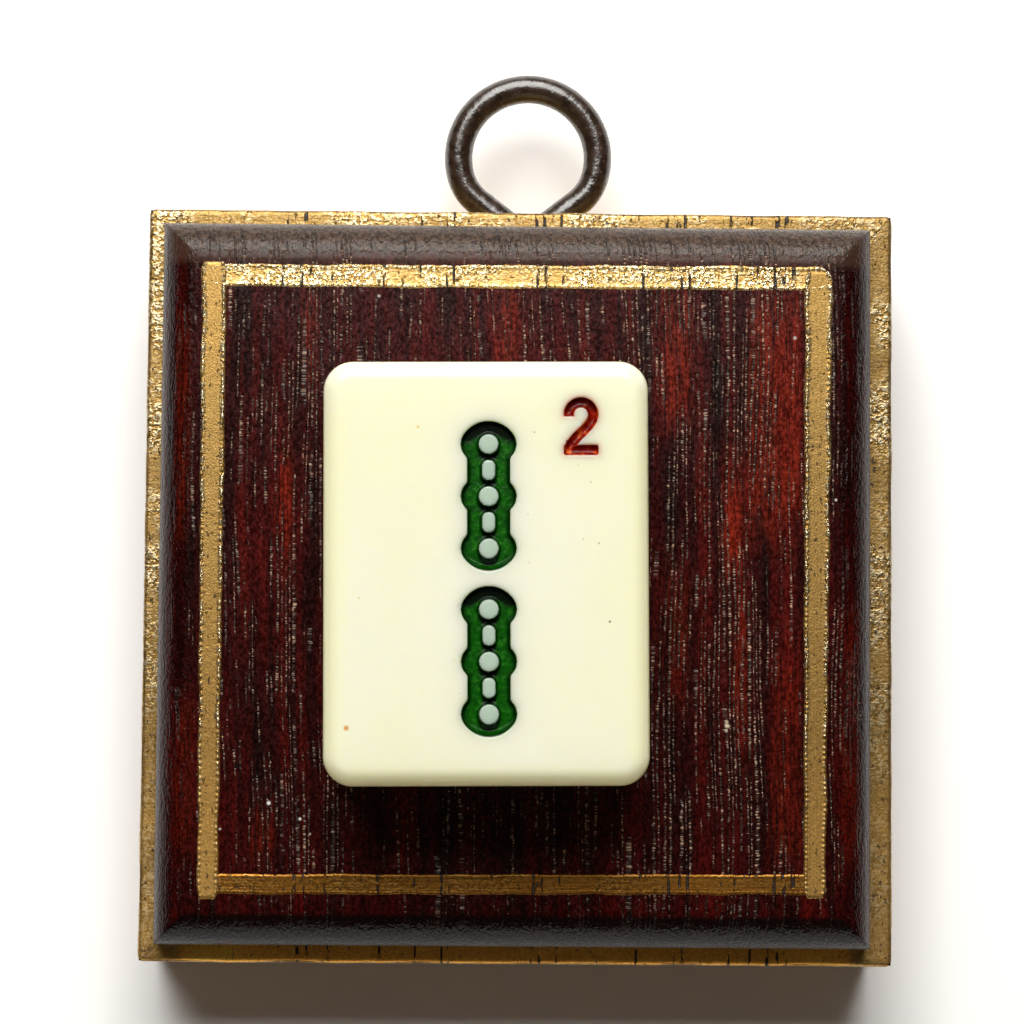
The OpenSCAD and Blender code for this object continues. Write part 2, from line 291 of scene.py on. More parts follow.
def grain(tree):
    """Coordinate across the grain, open pores, beads of finish in them whose pale colour is a painted glint, and how
    dense the pores are.
    """
    wander = tree.sub(tree.cloud((0.05, 0.05, 0.035), detail=1), 0.5)
    # The figure goes on over the quarter round: depth counts as distance across, but less so on the sides.
    inward = tree.step(tree.abs(tree.facing_x), 0.6, 0.95, 0.25, 1.0)
    depth = tree.mul(tree.sub(tree.y, FACE_Y + ROUND_R), inward)
    across = tree.add(tree.add(tree.x, depth), tree.mul(tree.z, 0.012))
    across = tree.add(across, tree.mul(wander, 2.4))
    left, width = PORE_COLUMNS[0][0], PORE_COLUMNS[-1][0] - PORE_COLUMNS[0][0]
    column = tree.ramp(tree.math("DIVIDE", tree.sub(tree.sub(tree.x, BOARD_X), left), width),
                       [((at - left) / width, (level,) * 3) for at, level in PORE_COLUMNS])
    density = tree.mul(column, tree.step(tree.strands(across, 0.55, 0.1, 2), 0.36, 0.6, 0.35, 1.0))
    # Every whole number of place is one line of pores, which sways, shakes and breaks off.
    sway = tree.strands(across, 1.1, 0.05, 1)
    place = tree.add(tree.mul(across, 2.75), tree.mul(tree.sub(sway, 0.5), 2.6))
    line = tree.math("FLOOR", place)
    shake = tree.strands(line, 2.9, 1.9, 2, 0.7)
    off = tree.abs(tree.add(tree.sub(tree.sub(place, line), 0.5), tree.mul(tree.sub(shake, 0.5), 0.8)))
    there = tree.step(tree.add(tree.strands(line, 3.37, 0.2, 2), tree.mul(density, 0.3)), 0.62, 0.76)
    pore = tree.mul(tree.step(off, 0.26, 0.06), there)
    # Along each line the finish stands in beads of random strength, about five to a millimetre; their pale colour is
    # a painted glint.
    along = tree.add(tree.mul(tree.z, 5.2), tree.mul(tree.random(tree.vector(line, 0.5, 0.0)), 9.0))
    along = tree.add(along, tree.mul(tree.strands(line, 1.7, 1.3, 2, 0.7), 5.0))
    number = tree.math("FLOOR", along)
    gap = tree.abs(tree.sub(tree.sub(along, number), 0.5))
    level = tree.random(tree.vector(line, 1.5, number))
    bead = tree.mul(tree.step(gap, 0.47, 0.12), tree.step(level, 0.42, 0.95, 0.1, 1.0))
    return across, pore, tree.mul(pore, bead), density


def wood_material():
    tree = Tree("dark_wood")
    across, pore, painted_glint_beads, density = grain(tree)
    right, up = tree.about(BOARD_X, BOARD_Z)
    fibre = tree.strands(across, 7.0, 0.35, 3, deep=7.0)
    streak = tree.strands(across, 0.9, 0.045, 3, deep=0.5)
    blotch = tree.cloud((0.18, 0.18, 0.08))
    level = tree.add(tree.mul(streak, 0.62), tree.add(tree.mul(fibre, 0.22), tree.mul(blotch, 0.16)))
    colour = tree.ramp(level, [(0.34, (0.006, 0.0008, 0.0006)), (0.46, (0.023, 0.0012, 0.0008)),
                               (0.56, (0.05, 0.0016, 0.001)), (0.68, (0.092, 0.0042, 0.0019))])
    # Red heartwood with ragged sides, on the front only; dark where pores are dense; fine mottle.
    ragged = tree.mul(tree.sub(fibre, 0.5), 1.6)
    red = tree.most(*[tree.mul(tree.window(tree.add(right, ragged), left, end, 0.4),
                               tree.window(up, bottom, top, 2.6), strength)
                      for left, end, bottom, top, strength in RED_STREAKS])
    red = tree.mul(red, tree.mul(tree.step(fibre, 0.32, 0.62, 0.1, 1.0), tree.step(tree.y, -2.0, -6.0)))
    colour = tree.mix(red, colour, (0.215, 0.014, 0.003))
    colour = tree.mix(tree.mul(density, 0.35), colour, (0.007, 0.0022, 0.0016))
    speck = tree.cloud((5.2, 5.2, 3.4), detail=3, roughness=0.65)
    colour = tree.shaded(colour, tree.step(speck, 0.36, 0.64, 0.38, 1.36))
    # On the quarter round a painted brown sheen lightens the upper side and painted shade blackens the underside,
    # and the beads are few.
    rolled = tree.step(tree.y, FACE_Y + 0.004, FACE_Y + 0.12)
    # Fewer beads, and so fewer painted glints, towards the bottom.
    fewer_glints_below = tree.step(up, -23.5, -20.5, 0.4, 1.0)
    painted_glint_beads = tree.mul(painted_glint_beads, tree.mul(tree.sub(1.0, tree.mul(rolled, 0.8)), fewer_glints_below))
    dark = tree.sub(pore, painted_glint_beads)
    # Painted shade: the face is darkened towards its left and right sides.
    colour = tree.shaded(colour, tree.step(tree.abs(right), 22.8, 24.6, 1.0, 0.6))
    # Painted sheen: the strip of the block's face along its top is lightened.
    painted_sheen_band = tree.mul(tree.step(up, 23.4, 24.4, 0.0, 0.45), tree.step(tree.y, LEDGE_Y + 0.5, LEDGE_Y))
    colour = tree.mix(painted_sheen_band, colour, (0.095, 0.05, 0.033))
    crumbs = tree.cloud((3.2, 3.2, 2.2), roughness=0.65)
    painted_sheen_brown = tree.shaded((0.095, 0.062, 0.043), tree.step(crumbs, 0.38, 0.6, 0.25, 1.0))
    # Painted light by the way the round faces: brown sheen above, black shade below.
    above, below = (tree.mul(rolled, tree.step(tree.facing_z, 0.02 * side, 0.22 * side, 0.0, share))
                    for side, share in ((1, 0.8), (-1, 0.9)))
    colour = tree.mix(above, colour, painted_sheen_brown)
    colour = tree.mix(below, colour, (0.003, 0.001, 0.001))
    colour = tree.mix(tree.mul(dark, 0.75), colour, (0.002, 0.001, 0.001))
    # Painted glints: the beads are coloured pale tan.
    tan = tree.ramp(tree.cloud(0.6), [(0.36, (0.27, 0.22, 0.17)), (0.62, (0.56, 0.34, 0.23))])
    colour = tree.mix(painted_glint_beads, colour, tan)
    for place, height, radius, stain, strength in DUST:
        here = tree.spot(BOARD_X + place, BOARD_Z + height, radius, 0.6)
        colour = tree.mix(tree.mul(here, tree.step(tree.y, -10.5, -11.5), strength), colour, stain)
    tree.set(Base_Color=colour, Roughness=tree.step(speck, 0.35, 0.65, 0.17, 0.28), Specular_IOR_Level=0.22)
    height = tree.sub(tree.add(tree.mul(speck, 0.17), tree.mul(fibre, 0.14)), tree.mul(dark, 0.6))
    height = tree.add(height, tree.mul(rolled, crumbs, 1.25))
    tree.bump(tree.add(height, tree.mul(painted_glint_beads, 0.45)), 0.09, 0.85)
    return tree.material


def gold_material(name, stroke, lump, relief, sparkle, tone, low_tone, crown=1.0, foot=(1.0, 1.0, 1.0)):
    """Gold paint brushed along x or z, with beads that glitter and dark open pores.

    lump is the frequency of the beads, low_tone the painted shade towards the bottom, crown the painted light at the
    top and foot the painted fill light on the ledge's lowest strip.
    """
    tree = Tree(name)
    right, up = tree.about(BOARD_X, BOARD_Z)
    away = tree.abs(right)
    brushed = tree.cloud((0.8, 6.0, 6.0) if stroke == "x" else (6.0, 6.0, 0.8), detail=3)
    grit = tree.cloud(7.0, roughness=0.6)
    lumps = tree.step(tree.cloud(lump, roughness=0.6), 0.34, 0.66)
    # Glitter comes in patches and on the stripes' edges, less of it towards the bottom.
    calm = tree.step(up, -16.0, 2.0, 0.4, 1.0)
    # The ledge's lowest strip, which gets painted fill light.
    painted_fill_strip = tree.mul(tree.step(up, -26.6, -27.3), tree.step(away, 26.0, 24.5))
    painted_fill_strip = tree.mul(painted_fill_strip, tree.step(tree.y, LEDGE_Y + 0.14, LEDGE_Y + 0.04))
    patch = tree.mul(tree.step(tree.cloud(0.26), 0.38, 0.6, 0.12, 1.0), calm, tree.sub(1.0, painted_fill_strip))
    front = tree.step(tree.y, LEDGE_Y + 1.6, LEDGE_Y + 0.3, 0.12, 1.0)
    edge = tree.mul(tree.attribute("edge"), tree.step(up, -18.0, -8.0, 0.12, 1.0))
    glitter = tree.math("MAXIMUM", edge, tree.mul(patch, front, sparkle), clamp=True)
    colour = tree.ramp(grit, [(at, tuple(tone * c for c in gold)) for at, gold in GOLDS])
    # Painted glints: glittering lumps are lightened, and painted shade darkens the hollows between them.
    colour = tree.mix(tree.mul(glitter, tree.step(lumps, 0.35, 0.85)), colour, (1.0, 0.88, 0.6))
    colour = tree.mix(tree.mul(glitter, tree.step(lumps, 0.3, 0.05, 0.0, 0.45)), colour, (0.16, 0.075, 0.02))
    # Painted shade: the paint is darkened to the right and towards the bottom, less so in the lower corners, and
    # painted light brightens it at the top and on the ledge's lowest strip.
    corner = tree.mul(tree.step(up, -10.0, -21.0), tree.step(away, 18.5, 22.5))
    painted_light_fade = tree.mul(tree.step(right, 12.0, 28.0, 1.0, 0.8), tree.step(up, 8.0, 23.0, 1.0, crown))
    painted_light_fade = tree.mul(painted_light_fade, tree.add(1.0, tree.mul(corner, 0.35)))
    painted_light_tint = [tree.mul(painted_light_fade, tree.step(up, 12.0, -21.0, 1.0, low), tree.add(1.0, tree.mul(painted_fill_strip, end - 1.0)))
            for low, end in zip(low_tone, foot)]
    colour = tree.shaded(colour, *painted_light_tint)
    slots = tree.most(*[tree.step(tree.abs(tree.sub(right, at)), half * 1.3, half * 0.6) for at, half in PORE_SLOTS])
    gap = tree.mul(slots, tree.step(tree.cloud((2.2, 2.2, 0.9)), 0.47, 0.55))
    crumb = tree.step(tree.cloud((3.0, 3.0, 2.0), detail=3, roughness=0.7), 0.62, 0.68)
    gap = tree.most(gap, tree.mul(crumb, 0.85))
    colour = tree.mix(gap, colour, (0.014, 0.006, 0.003))
    tree.set(Base_Color=colour, Metallic=tree.sub(0.9, tree.mul(gap, 0.88)),
             Roughness=tree.sub(0.5, tree.mul(glitter, 0.28)))
    height = tree.add(tree.add(tree.mul(brushed, 0.2), tree.mul(grit, 0.3)), tree.mul(lumps, glitter, relief))
    tree.bump(tree.sub(tree.mul(height, calm), gap), 0.12, 0.9)
    return tree.material


def ivory_material():
    tree = Tree("ivory_resin")
    shade = tree.cloud(0.09, detail=2)
    colour = tree.ramp(shade, [(0.35, (0.96, 0.945, 0.69)), (0.65, (0.965, 0.955, 0.75))])
    right, up = tree.about(TILE_X, TILE_Z)
    reach = tree.most(tree.sub(tree.abs(right), TILE_W / 2),
                      tree.sub(tree.abs(up), TILE_H / 2))
    # Painted glow: the rolled edges are yellower, less so at the top.
    painted_edge_glow = tree.mul(tree.step(reach, -2.2, -0.2), tree.step(up, 14.0, 9.0, 0.25, 1.0))
    colour = tree.mix(painted_edge_glow, colour, (1.0, 0.955, 0.6))
    # Painted glow: green and red light carried through the resin near the paint, and on the standing islands.
    colour = tree.mix(tree.attribute("painted_green_glow"), colour, (0.62, 0.93, 0.46))
    colour = tree.mix(tree.attribute("painted_red_glow"), colour, (1.0, 0.5, 0.33))
    colour = tree.mix(tree.attribute("painted_island_glow"), colour, (0.5, 0.66, 0.5))
    for right, up, radius, stain, strength in SPECKS:
        colour = tree.mix(tree.mul(tree.spot(TILE_X + right, TILE_Z + up, radius), strength), colour, stain)
    handled = tree.cloud(1.3, detail=4)
    tree.set(Base_Color=colour, Roughness=tree.step(handled, 0.3, 0.7, 0.16, 0.26), IOR=1.52,
             Subsurface_Weight=1.0, Subsurface_Radius=(1.0, 0.95, 0.75), Subsurface_Scale=1.6 * MM)
    tree.bump(tree.cloud(0.5, detail=3), 0.012, 0.6)
    return tree.material


def green_material():
    tree = Tree("green_paint")
    mottle = tree.cloud(2.4, detail=4, roughness=0.65)
    colour = tree.ramp(mottle, [(0.32, (0.001, 0.042, 0.0006)), (0.54, (0.003, 0.082, 0.001)),
                                (0.74, (0.026, 0.17, 0.012))])
    # Painted shadow and shade from the mask: near-black green, without grain.
    painted_shadow = tree.attribute("painted_shadow")
    colour = tree.mix(painted_shadow, colour, (0.0005, 0.004, 0.0008))
    tree.set(Base_Color=colour, Roughness=0.2, IOR=1.5, Specular_IOR_Level=0.25)
    grainy = tree.cloud(4.5, detail=3, roughness=0.6)
    tree.bump(tree.mul(grainy, tree.sub(1.0, painted_shadow)), 0.035, 0.8)
    return tree.material


def red_material():
    tree = Tree("red_paint")
    mottle = tree.cloud(1.6, detail=3)
    colour = tree.ramp(mottle, [(0.35, (0.12, 0.001, 0.001)), (0.54, (0.27, 0.008, 0.002)),
                                (0.68, (0.66, 0.1, 0.01))])
    # Painted shade: the upper part of the numeral is darkened.
    height = tree.sub(tree.z, TILE_Z + NUMERAL_Y)
    colour = tree.mix(tree.step(height, 0.9, 1.7, 0.0, 0.75), colour, (0.055, 0.0016, 0.001))
    tree.set(Base_Color=colour, Roughness=0.2, IOR=1.5, Specular_IOR_Level=0.18, Subsurface_Weight=0.3,
             Subsurface_Radius=(1.0, 0.15, 0.05), Subsurface_Scale=0.3 * MM)
    tree.bump(tree.cloud(3.6, detail=3), 0.05, 0.8)
    return tree.material


def wire_material():
    tree = Tree("bronzed_wire")
    patch = tree.cloud(1.1, detail=3)
    worn = tree.step(tree.cloud(3.2, detail=3), 0.62, 0.76)
    colour = tree.ramp(patch, [(0.35, (0.016, 0.008, 0.004)), (0.65, (0.036, 0.019, 0.011))])
    colour = tree.mix(tree.mul(worn, 0.5), colour, (0.2, 0.13, 0.09))
    tree.set(Base_Color=colour, Roughness=tree.step(patch, 0.35, 0.65, 0.24, 0.36), Specular_IOR_Level=0.4,
             Coat_Weight=1.0, Coat_Roughness=0.03, Coat_IOR=1.5)
    pitted = tree.cloud(2.2, detail=4, roughness=0.6)
    tree.set(Coat_Normal=tree.bump(pitted, 0.055, 0.8))
    return tree.material


def glue_material():
    tree = Tree("clear_glue")
    cloud = tree.cloud(0.6, detail=3)
    tree.set(Base_Color=tree.ramp(cloud, [(0.4, (0.45, 0.4, 0.3)), (0.6, (0.62, 0.57, 0.45))]), Roughness=0.18,
             Subsurface_Weight=0.4, Subsurface_Radius=(1.0, 0.9, 0.7), Subsurface_Scale=0.5 * MM)
    tree.bump(cloud, 0.05, 0.6)
    return tree.material


# ---- tile: engraving as distances

STICK_PITCH, STICK_HALF_W, STICK_R, CANE_HALF_W, CROWN_H = 3.68, 1.93, 1.2, 1.47, 1.59
DOT_R, BAR_HALF_W, BAR_HALF_H, BAR_R = 0.725, 0.485, 0.74, 0.45
STICK_X, STICK_YS = 0.18, (5.36, -6.28)
NUMERAL_X, NUMERAL_Y, NUMERAL_W, NUMERAL_H, STROKE_W, TERMINAL_Y = 6.7, 10.3, 2.4, 4.05, 0.68, 0.715
ENGRAVE_D, NUMERAL_D, PAINT_D, RIM_DROP = 0.8, 0.55, 0.1, 0.08
# The last is how far the painted crescent shadow reaches below each crown.
LIP, WALL, FIT, CRESCENT_SHADOW_H = 0.1, 0.14, 0.035, 0.8
# Pitch of the meshes of sticks and numeral.
FINE, FINEST = 0.042, 0.035
# Specks on the tile, about its middle: right, up, radius, colour and strength.
SPECKS = [(-4.9, 10.2, 0.1, (0.8, 0.62, 0.2), 0.8), (3.3, 9.9, 0.07, (0.5, 0.4, 0.25), 0.7),
          (5.6, 9.3, 0.08, (0.1, 0.06, 0.04), 0.9), (6.4, 7.6, 0.06, (0.75, 0.6, 0.25), 0.6),
          (7.3, 6.4, 0.06, (0.45, 0.35, 0.22), 0.6), (8.7, -3.4, 0.08, (0.2, 0.13, 0.08), 0.9),
          (6.8, 2.4, 0.06, (0.5, 0.42, 0.25), 0.6), (7.9, 2.1, 0.07, (0.4, 0.32, 0.2), 0.7),
          (-9.7, -11, 0.17, (0.75, 0.33, 0.05), 0.9), (-8.9, -1.9, 0.08, (0.78, 0.66, 0.3), 0.6),
          (2.9, 4.1, 0.06, (0.6, 0.5, 0.3), 0.5), (3, 0.7, 0.06, (0.6, 0.5, 0.3), 0.5),
          (-2.2, -6.2, 0.07, (0.78, 0.66, 0.3), 0.6), (-1.8, -8.5, 0.07, (0.78, 0.66, 0.3), 0.5)]


def smooth_min(a, b, reach):
    h = np.clip(0.5 + 0.5 * (b - a) / reach, 0, 1)
    return b * (1 - h) + a * h - reach * h * (1 - h)


def box_distance(x, y, half_w, half_h, radius=0.0):
    qx, qy = np.abs(x) - half_w + radius, np.abs(y) - half_h + radius
    return np.hypot(np.maximum(qx, 0), np.maximum(qy, 0)) + np.minimum(np.maximum(qx, qy), 0) - radius


def stick_outline(x, y):
    """Distance to one stick's outline, negative inside."""
    joint_x = STICK_HALF_W - STICK_R
    lobes = np.min([np.hypot(np.maximum(np.abs(x) - joint_x, 0), y - j * STICK_PITCH) - STICK_R
                    for j in (-1, 0, 1)], axis=0)
    body = smooth_min(lobes, box_distance(x, y, CANE_HALF_W, STICK_PITCH), 0.16)
    crown_r = (CROWN_H ** 2 + joint_x ** 2 - STICK_R ** 2) / (2 * (CROWN_H - STICK_R))
    drop = crown_r - CROWN_H
    rise = np.abs(y) - STICK_PITCH + drop
    crown = np.where(np.abs(x) * drop <= joint_x * rise, np.hypot(x, rise) - crown_r, 9.0)
    return np.minimum(body, crown)


def stick_islands(x, y):
    """Distance to the dots and bars that are left standing in one stick."""
    dots = [np.hypot(x, y - j * STICK_PITCH) - DOT_R for j in (-1, 0, 1)]
    bars = [box_distance(x, y - j * STICK_PITCH / 2, BAR_HALF_W, BAR_HALF_H, BAR_R) for j in (-1, 1)]
    return np.min(dots + bars, axis=0)


def sticks(x, y):
    """Distances to the sticks' outlines and to their islands."""
    parts = [(stick_outline(x - STICK_X, y - at), stick_islands(x - STICK_X, y - at)) for at in STICK_YS]
    return np.minimum(parts[0][0], parts[1][0]), np.minimum(parts[0][1], parts[1][1])


def smooth_step(value, low, high):
    t = np.clip((value - low) / (high - low), 0, 1)
    return t * t * (3 - 2 * t)


def stick_depth(x, y, fit=0.0, drop=0.0):
    """Depth of the engraved field, with a round lower lip, and the distance to the field's edge."""
    outline, islands = sticks(x, y)
    within = y - np.where(y > sum(STICK_YS) / 2, *STICK_YS)
    field = np.maximum(outline, -islands) + fit
    wall = WALL + 0.3 * smooth_step(-within, STICK_PITCH + 0.2, STICK_PITCH + 1.2)
    return (ENGRAVE_D - drop) * smooth_step(-field, -LIP, wall), field


def painted_shadow_mask(x, y):
    """Painted shadow: the crescent under each crown and below the islands, and painted shade along the walls."""
    outline, islands = sticks(x, y)
    within = y - np.where(y > sum(STICK_YS) / 2, *STICK_YS)
    crown = smooth_step(within, STICK_PITCH - 0.1, STICK_PITCH + 0.4)
    crescent_shadow = smooth_step(sticks(x, y + CRESCENT_SHADOW_H)[0], -0.35, 0.1) * crown
    island_shadow = smooth_step(-sticks(x, y + 0.45)[1], -0.12, 0.1)
    wall_shade = np.maximum(smooth_step(outline, -0.42, -0.1), 0.9 * smooth_step(-islands, -0.22, -0.04))
    return np.maximum(np.maximum(0.97 * crescent_shadow, 0.9 * island_shadow), 0.65 * wall_shade)


def numeral_line():
    """Middle line of the numeral 2, about its middle."""
    half = STROKE_W / 2
    bowl_r = NUMERAL_W / 2 - half
    bowl_y = NUMERAL_H / 2 - half - bowl_r
    bowl = [(bowl_r * math.cos(a), bowl_y + bowl_r * math.sin(a)) for a in np.radians(np.linspace(186, -28, 42))]
    foot = (-NUMERAL_W / 2 + half, -NUMERAL_H / 2 + half)
    start = np.array(bowl[-1])
    pull = np.array((start[0] - 0.25, start[1] - 0.62))
    lift = np.array((foot[0] + 0.12, foot[1] + 0.75))
    fall = [(1 - t) ** 3 * start + 3 * (1 - t) ** 2 * t * pull + 3 * (1 - t) * t * t * lift + t ** 3 * np.array(foot)
            for t in np.linspace(0, 1, 24)[1:]]
    base = [(foot[0] + t * (NUMERAL_W - STROKE_W), foot[1]) for t in np.linspace(0, 1, 10)[1:]]
    return np.array(bowl + [tuple(p) for p in fall] + base)


def numeral(x, y):
    """Distance to the middle line of the numeral."""
    line = numeral_line()
    px, py = x - NUMERAL_X, y - NUMERAL_Y
    best = np.full(np.shape(px), 9.0)
    for a, b in zip(line[:-1], line[1:]):
        d = b - a
        t = np.clip(((px - a[0]) * d[0] + (py - a[1]) * d[1]) / (d @ d), 0, 1)
        best = np.minimum(best, np.hypot(px - a[0] - t * d[0], py - a[1] - t * d[1]))
    half = STROKE_W / 2
    foot = box_distance(px, py - line[-1][1], NUMERAL_W / 2, half, 0.14) + half
    below = np.where((px < 0) & (py > 0), TERMINAL_Y - py + half, 0)
    return np.maximum(np.minimum(best, foot), below)


def groove(distance, half, depth):
    """Depth of a groove with steep walls and a dished floor about its middle line."""
    dish = 0.7 + 0.3 * np.sqrt(np.clip(1 - (distance / half) ** 2, 0, 1))
    return depth * dish * smooth_step(half - distance, -LIP, 0.16)


def tile_to_part(right, up, height):
    """Points about the tile's middle, a height above its back, in the part's frame."""
    c, s = math.cos(TILE_TURN), math.sin(TILE_TURN)
    right, up, height = np.broadcast_arrays(right, up, height)
    return np.stack([TILE_X + c * right - s * up, TILE_BACK - height, TILE_Z + s * right + c * up], -1)


def patch(x0, x1, y0, y1, pitch=FINE):
    """Grid of points over a rectangle of the tile's face, about pitch apart."""
    return np.meshgrid(*[np.linspace(low, high, int(round((high - low) / pitch)) + 1)
                         for low, high in ((x0, x1), (y0, y1))])


def rim_loop(gx, start):
    """Indices of the points round a patch, in order."""
    rows, columns = gx.shape
    index = np.arange(rows * columns).reshape(rows, columns) + start
    return list(index[0, :-1]) + list(index[:-1, -1]) + list(index[-1, :0:-1]) + list(index[:0:-1, 0])


def make_tile(material):
    """One closed mesh: rolled edges in rings, fine patches for the engraving and flat face between."""
    roll = [(TILE_EDGE_R * (1 - math.cos(a)), TILE_EDGE_R * (1 - math.sin(a)))
            for a in np.radians(np.linspace(0, 90, 13))]
    sides = [(0.0, TILE_EDGE_R + (TILE_T - 2 * TILE_EDGE_R) * k / 6) for k in range(1, 6)]
    front = [(inset, TILE_T - drop) for inset, drop in roll]
    points, count = [], None
    for inset, height in roll[::-1] + sides + front:
        path, _ = rounded_path(TILE_W - 2 * inset, TILE_H - 2 * inset, TILE_CORNER_R - inset, 12, 24)
        count = len(path)
        points.append(tile_to_part(path[:, 0], path[:, 1], height))
    rows = len(points)
    points = np.concatenate(points)
    faces = grid_faces(rows, count, closed=True)
    faces.append(list(range(count))[::-1])
    fine = patch(-2.6, 3.0, -12.2, 11.3), patch(4.9, 8.5, 7.7, 12.9)
    starts, green, red, painted_island_glow = [], *([np.zeros(len(points))] for _ in range(3))
    for gx, gy in fine:
        starts.append(len(points))
        outline, islands = sticks(gx, gy)
        line = numeral(gx, gy)
        depth = np.maximum(stick_depth(gx, gy)[0], groove(line, STROKE_W / 2, NUMERAL_D))
        points = np.concatenate([points, tile_to_part(gx, gy, TILE_T - depth).reshape(-1, 3)])
        faces += grid_faces(*gx.shape, start=starts[-1])
        # Painted glow near the green and red paint and on the islands, kept for each point.
        green.append(np.where(outline > 0, 0.5 * np.exp(-np.clip(outline, 0, 9) / 0.3), 0.5).ravel())
        red.append((0.95 * np.exp(-np.clip(line - STROKE_W / 2, 0, 9) / 0.22)).ravel())
        painted_island_glow.append(np.where((outline < 0) & (islands < 0), 1.0, 0.0).ravel())
    # The flat face between the outer ring and the patches is filled with triangles.
    outer = list(range((rows - 1) * count, rows * count))
    loops = [outer] + [rim_loop(g[0], s) for g, s in zip(fine, starts)]
    order = [i for loop in loops for i in loop]
    local = [Vector((p[0] - TILE_X, p[2] - TILE_Z)) for p in points[order]]
    rims, at = [], 0
    for loop in loops:
        rims.append(list(range(at, at + len(loop))))
        at += len(loop)
    edges = [(loop[k], loop[(k + 1) % len(loop)]) for loop in rims for k in range(len(loop))]
    _, _, triangles, origin, _, _ = delaunay_2d_cdt(local, edges, [], 1, 1e-7)
    holes = [(g[0].min(), g[0].max(), g[1].min(), g[1].max()) for g in fine]
    c, s = math.cos(TILE_TURN), math.sin(TILE_TURN)
    for triangle in triangles:
        corner = [origin[v][0] for v in triangle]
        middle = sum((local[v] for v in corner), Vector((0, 0))) / 3
        mx, my = c * middle.x + s * middle.y, -s * middle.x + c * middle.y
        if not any(x0 < mx < x1 and y0 < my < y1 for x0, x1, y0, y1 in holes):
            faces.append([order[v] for v in corner])
    tile = add_mesh("tile_body_engraved", points, faces, material, ("tile_body",))
    for name, values in (("painted_green_glow", green), ("painted_red_glow", red), ("painted_island_glow", painted_island_glow)):
        values.append(np.zeros(len(points) - sum(map(len, values))))
        add_values(tile, name, np.concatenate(values))


def make_sheet(name, gx, gy, top, keep, material, painted_shadow=None):
    """A thin coat: the top surface where keep holds, and a bottom under it."""
    used = keep[:-1, :-1] & keep[:-1, 1:] & keep[1:, :-1] & keep[1:, 1:]
    quads = np.array(grid_faces(*gx.shape))[used.ravel()]
    kept, packed = np.unique(quads, return_inverse=True)
    quads = packed.reshape(quads.shape)
    upper = tile_to_part(gx, gy, top).reshape(-1, 3)[kept]
    lower = upper + np.array([0, PAINT_D / 2, 0])
    faces = quads.tolist() + (quads[:, ::-1] + len(kept)).tolist()
    borders = {}
    for quad in quads.tolist():
        for a, b in zip(quad, quad[1:] + quad[:1]):
            if borders.pop((b, a), None) is None:
                borders[(a, b)] = [b, a, a + len(kept), b + len(kept)]
    faces += borders.values()
    coat = add_mesh(name + "_coat", np.concatenate([upper, lower]), faces, material, (name,))
    if painted_shadow is not None:
        add_values(coat, "painted_shadow", np.tile(painted_shadow.ravel()[kept], 2))


def make_paint(green, red):
    """The coats in the sticks and in the numeral, a little higher where they meet the walls."""
    for name, at in (("upper_bamboo_paint", STICK_YS[0]), ("lower_bamboo_paint", STICK_YS[1])):
        gx, gy = patch(STICK_X - 2.1, STICK_X + 2.1, at - 5.5, at + 5.5)
        depth, field = stick_depth(gx, gy, FIT, PAINT_D)
        ripple = 0.006 * wave_noise(gx, 0.9, 3) * wave_noise(gy, 1.1, 4)
        depth = np.maximum(depth, RIM_DROP) + ripple * (field < -0.1)
        make_sheet(name, gx, gy, TILE_T - depth, field < 0.05 + FIT, green, painted_shadow_mask(gx, gy))
    gx, gy = patch(NUMERAL_X - 1.6, NUMERAL_X + 1.6, NUMERAL_Y - 2.4, NUMERAL_Y + 2.4, FINEST)
    line = numeral(gx, gy)
    depth = np.maximum(groove(line + FIT, STROKE_W / 2, NUMERAL_D - PAINT_D), RIM_DROP)
    make_sheet("numeral_paint", gx, gy, TILE_T - depth, line < STROKE_W / 2 + 0.06, red)


# ---- board

def make_board(material):
    """The slab and the raised block with its quarter round, in rings from the back to the face."""
    sharp, coat = 0.03, 0.1
    low, high = BOARD_LOW, BOARD_HIGH
    slab = ((low[0] + high[0]) / 2, BOARD_Z, high[0] - low[0], RIM_HIGH[2] - RIM_LOW[2] - 2 * coat)
    block = (BOARD_X - BLOCK_SHIFT, BOARD_Z, BLOCK_W, BLOCK_H)
    rings = [(slab, 0.0, y) for y in np.linspace(BOARD_BACK, LEDGE_Y + coat, 12)]
    rings += [(block, 0.0, y) for y in np.linspace(LEDGE_Y + coat, FACE_Y + ROUND_R, 5)]
    rings += [(block, ROUND_R * (1 - math.cos(a)), FACE_Y + ROUND_R * (1 - math.sin(a)))
              for a in np.radians(np.linspace(0, 90, 25))[1:]]
    points = []
    for (x, z, width, height), inset, y in rings:
        path, _ = rounded_path(width - 2 * inset, height - 2 * inset, sharp, 1, 80)
        points.append(np.stack([x + path[:, 0], np.full(len(path), y), z + path[:, 1]], -1))
    count = len(points[0])
    faces = grid_faces(len(rings), count, closed=True)
    faces += [list(range(count))[::-1], list(range((len(rings) - 1) * count, len(rings) * count))]
    board = add_mesh("plaque_board_routed", np.concatenate(points), faces, material, ("plaque_board",))
    board.data.set_sharp_from_angle(angle=math.radians(30))


# ---- gilding

BORDER_RISE, UPRIGHT_LAP, STRIPE_ROWS, STRIPE_COLUMNS = 0.1, 0.03, 900, 20
# Painted stripes about the board's middle: direction, outer edge at both ends, inner edge at both ends, from, to.
STRIPES = [("x", 23.63, 23.88, 21.97, 22.07, -23.4, 23.0), ("x", -23.24, -22.95, -21.77, -21.48, -23.2, 22.5),
           ("z", -23.96, -23.63, -22.09, -22.09, 23.8, -23.6), ("z", 23.32, 22.82, 21.2, 21.2, 23.55, -23.25)]


